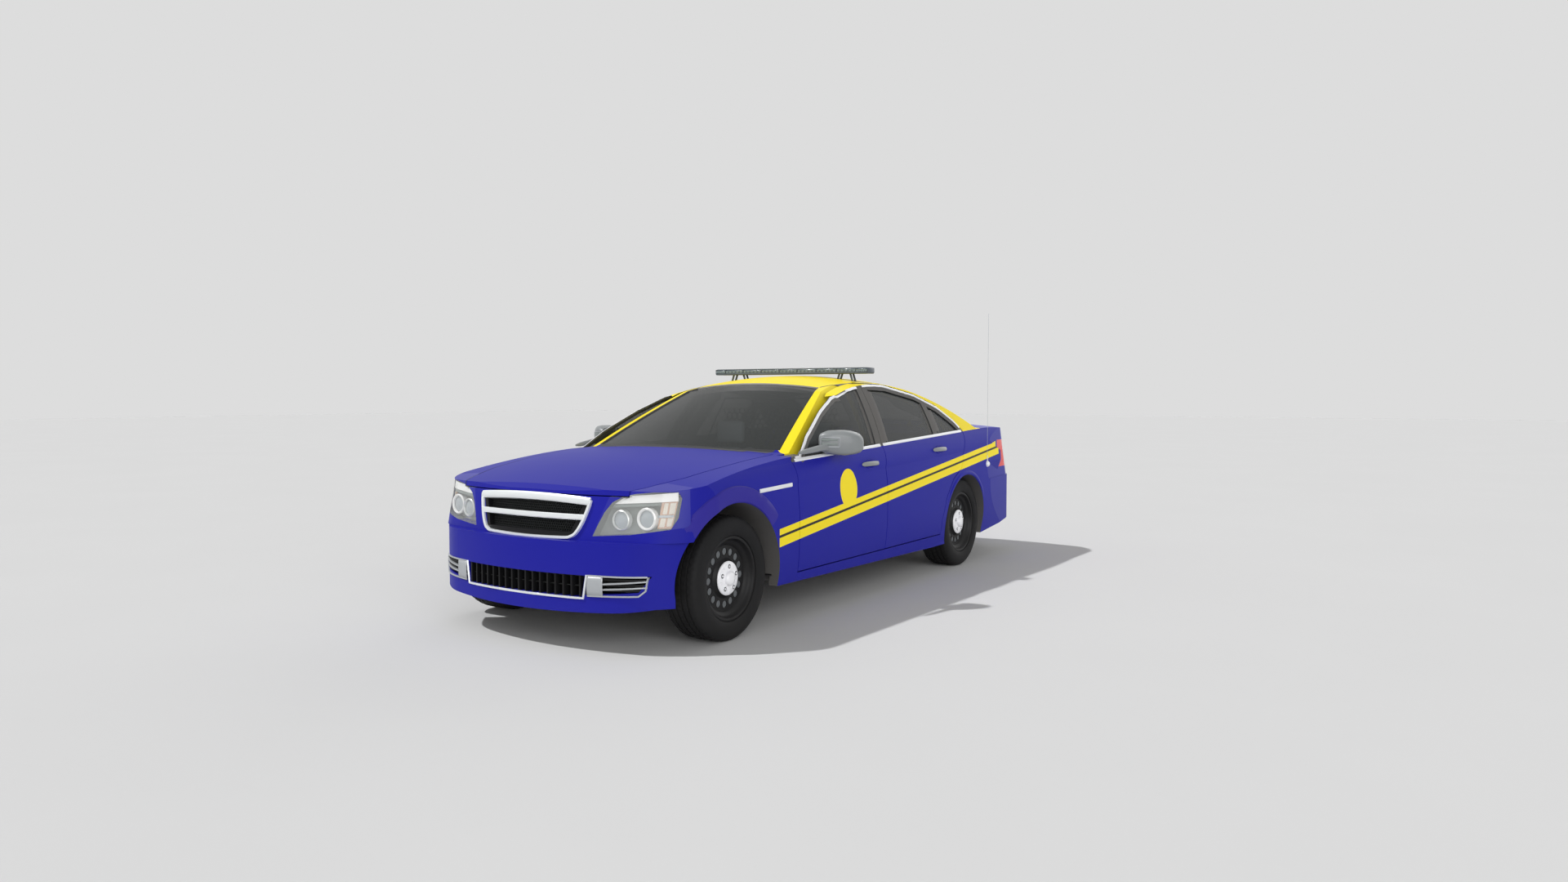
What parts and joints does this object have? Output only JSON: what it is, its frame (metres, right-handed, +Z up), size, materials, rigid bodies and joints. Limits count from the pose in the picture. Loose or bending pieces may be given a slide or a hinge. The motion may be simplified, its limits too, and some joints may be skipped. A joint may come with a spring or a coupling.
{
  "type": "police patrol car",
  "caption": "Four-door police patrol saloon with opening doors, hood and trunk, turning and steering steel wheels, roof light bar and cabin partition.",
  "frame": {"origin": "on the ground under the middle of the body's length and width", "axes": "+Z up, -Y towards the front of the car, +X to the car's left"},
  "size_m": [2.136, 4.899, 1.944],
  "materials": {
    "body_paint": "gloss dark blue paint",
    "roof_paint": "gloss yellow paint",
    "chrome": "bright",
    "dark_plastic": "satin",
    "mirror_cap": "gloss light grey",
    "clear_lens": "clear lens over bright bowls",
    "red_lens": "red lens",
    "glass": "tinted",
    "tyre": "matt black",
    "wheel_steel": "satin black",
    "interior": "matt",
    "seat_cloth": "cloth",
    "partition_steel": "satin black",
    "light_bar": "clear over grey",
    "steel": "dull",
    "iron": "rough"
  },
  "bodies": {
    "body": {"side_frame_left": "body_paint", "side_frame_right": "body_paint", "firewall": "body_paint", "rear_bulkhead": "body_paint", "front_wheelhouses": "dark_plastic", "lower_grille": "dark_plastic", "roof_panel": "roof_paint", "floor_pan": "dark_plastic", "fender_left": "body_paint", "fender_right": "body_paint", "front_bumper": "body_paint", "rear_bumper": "body_paint", "grille": "chrome", "headlamps": "clear_lens", "tail_lamps": "red_lens", "windshield": "glass", "rear_window": "glass", "light_bar": "light_bar", "antennas": "dark_plastic", "dashboard": "interior", "front_seats": "seat_cloth", "rear_seat": "seat_cloth", "partition": "partition_steel", "engine": "iron", "radiator": "dark_plastic", "front_subframe": "steel", "rear_axle": "steel", "exhaust": "steel"},
    "hood": {"hood": "body_paint"},
    "trunk_lid": {"trunk_lid": "body_paint"},
    "steering_wheel": {"steering_wheel": "interior"},
    "door_front_left": {"front_door_left": "body_paint", "front_glass_left": "glass", "mirror_left": "mirror_cap"},
    "door_rear_left": {"rear_door_left": "body_paint", "rear_glass_left": "glass"},
    "knuckle_left": {"knuckle_left": "steel"},
    "wheel_front_left": {"tyre_front_left": "tyre", "rim_front_left": "wheel_steel"},
    "wheel_rear_left": {"tyre_rear_left": "tyre", "rim_rear_left": "wheel_steel"},
    "door_front_right": {"front_door_right": "body_paint", "front_glass_right": "glass", "mirror_right": "mirror_cap"},
    "door_rear_right": {"rear_door_right": "body_paint", "rear_glass_right": "glass"},
    "knuckle_right": {"knuckle_right": "steel"},
    "wheel_front_right": {"tyre_front_right": "tyre", "rim_front_right": "wheel_steel"},
    "wheel_rear_right": {"tyre_rear_right": "tyre", "rim_rear_right": "wheel_steel"}
  },
  "joints": [
    {"name": "hood_hinge", "type": "hinge", "parent": "body", "child": "hood", "pos_m": [0, -1.1795, 0.965], "axis": [-1, 0, 0], "range_deg": [0, 55]},
    {"name": "trunk_hinge", "type": "hinge", "parent": "body", "child": "trunk_lid", "pos_m": [0, 1.7165, 1.09], "axis": [1, 0, 0], "range_deg": [0, 75]},
    {"name": "front_door_hinge_left", "type": "hinge", "parent": "body", "child": "door_front_left", "pos_m": [0.92, -1.1485, 0.575], "axis": [0, 0, -1], "range_deg": [0, 65]},
    {"name": "rear_door_hinge_left", "type": "hinge", "parent": "body", "child": "door_rear_left", "pos_m": [0.92, -0.0555, 0.575], "axis": [0, 0, -1], "range_deg": [0, 65]},
    {"name": "steer_left", "type": "hinge", "parent": "body", "child": "knuckle_left", "pos_m": [0.72, -1.7795, 0.334], "axis": [0, 0, 1], "range_deg": [-35, 35]},
    {"name": "wheel_spin_front_left", "type": "hinge", "parent": "knuckle_left", "child": "wheel_front_left", "pos_m": [0.783, -1.7795, 0.334], "axis": [1, 0, 0], "continuous": true},
    {"name": "wheel_spin_rear_left", "type": "hinge", "parent": "body", "child": "wheel_rear_left", "pos_m": [0.783, 1.2295, 0.334], "axis": [1, 0, 0], "continuous": true},
    {"name": "front_door_hinge_right", "type": "hinge", "parent": "body", "child": "door_front_right", "pos_m": [-0.92, -1.1485, 0.575], "axis": [0, 0, 1], "range_deg": [0, 65]},
    {"name": "rear_door_hinge_right", "type": "hinge", "parent": "body", "child": "door_rear_right", "pos_m": [-0.92, -0.0555, 0.575], "axis": [0, 0, 1], "range_deg": [0, 65]},
    {"name": "steer_right", "type": "hinge", "parent": "body", "child": "knuckle_right", "pos_m": [-0.72, -1.7795, 0.334], "axis": [0, 0, 1], "range_deg": [-35, 35]},
    {"name": "wheel_spin_front_right", "type": "hinge", "parent": "knuckle_right", "child": "wheel_front_right", "pos_m": [-0.783, -1.7795, 0.334], "axis": [1, 0, 0], "continuous": true},
    {"name": "wheel_spin_rear_right", "type": "hinge", "parent": "body", "child": "wheel_rear_right", "pos_m": [-0.783, 1.2295, 0.334], "axis": [1, 0, 0], "continuous": true},
    {"name": "steering_wheel_turn", "type": "hinge", "parent": "body", "child": "steering_wheel", "pos_m": [0.375, -0.7495, 0.83], "axis": [0, 0.9063, 0.4226], "range_deg": [-490, 490]}
  ],
  "couplings": [
    {"joint": "steer_right", "follows": "steer_left", "ratio": 1},
    {"joint": "steering_wheel_turn", "follows": "steer_left", "ratio": 14}
  ]
}
